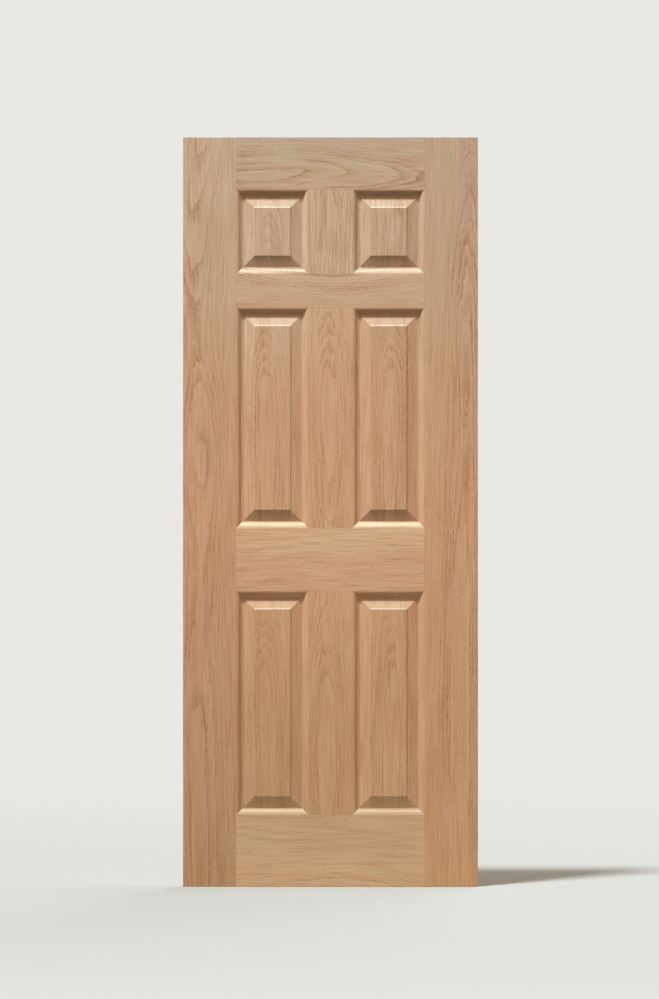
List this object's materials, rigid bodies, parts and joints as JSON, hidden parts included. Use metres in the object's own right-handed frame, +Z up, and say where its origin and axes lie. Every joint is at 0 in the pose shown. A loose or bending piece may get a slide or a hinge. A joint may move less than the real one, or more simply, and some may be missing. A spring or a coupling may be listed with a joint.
{
  "type": "panelled front door",
  "caption": "Bare oak front door leaf with raised and fielded panels in a dowelled, moulded stile-and-rail frame.",
  "frame": {"origin": "middle of the leaf's bottom edge, on the mid-plane of its thickness", "axes": "+Z up the height of the leaf, +X across its width to the right as seen from the front face, +Y from the front face (at -Y) to the back face"},
  "size_m": [0.826, 0.044, 2.1],
  "materials": {
    "frame_oak": "bare planed and sanded red oak, unsealed, with open pores",
    "panel_oak": "bare planed and sanded red oak, unsealed, with open pores",
    "dowel_beech": "plain fluted beech dowel rod"
  },
  "bodies": {
    "root": {"bottom_left_panel": "panel_oak", "bottom_mullion": "frame_oak", "bottom_mullion_lower_dowel": "dowel_beech", "bottom_mullion_upper_dowel": "dowel_beech", "bottom_rail": "frame_oak", "bottom_rail_left_dowels": "dowel_beech", "bottom_rail_right_dowels": "dowel_beech", "bottom_right_panel": "panel_oak", "frieze_rail": "frame_oak", "frieze_rail_left_dowels": "dowel_beech", "frieze_rail_right_dowels": "dowel_beech", "left_stile": "frame_oak", "lock_rail": "frame_oak", "lock_rail_left_dowels": "dowel_beech", "lock_rail_right_dowels": "dowel_beech", "middle_left_panel": "panel_oak", "middle_mullion": "frame_oak", "middle_mullion_lower_dowel": "dowel_beech", "middle_mullion_upper_dowel": "dowel_beech", "middle_right_panel": "panel_oak", "right_stile": "frame_oak", "top_left_panel": "panel_oak", "top_mullion": "frame_oak", "top_mullion_lower_dowel": "dowel_beech", "top_mullion_upper_dowel": "dowel_beech", "top_rail": "frame_oak", "top_rail_left_dowels": "dowel_beech", "top_rail_right_dowels": "dowel_beech", "top_right_panel": "panel_oak"}
  },
  "joints": []
}
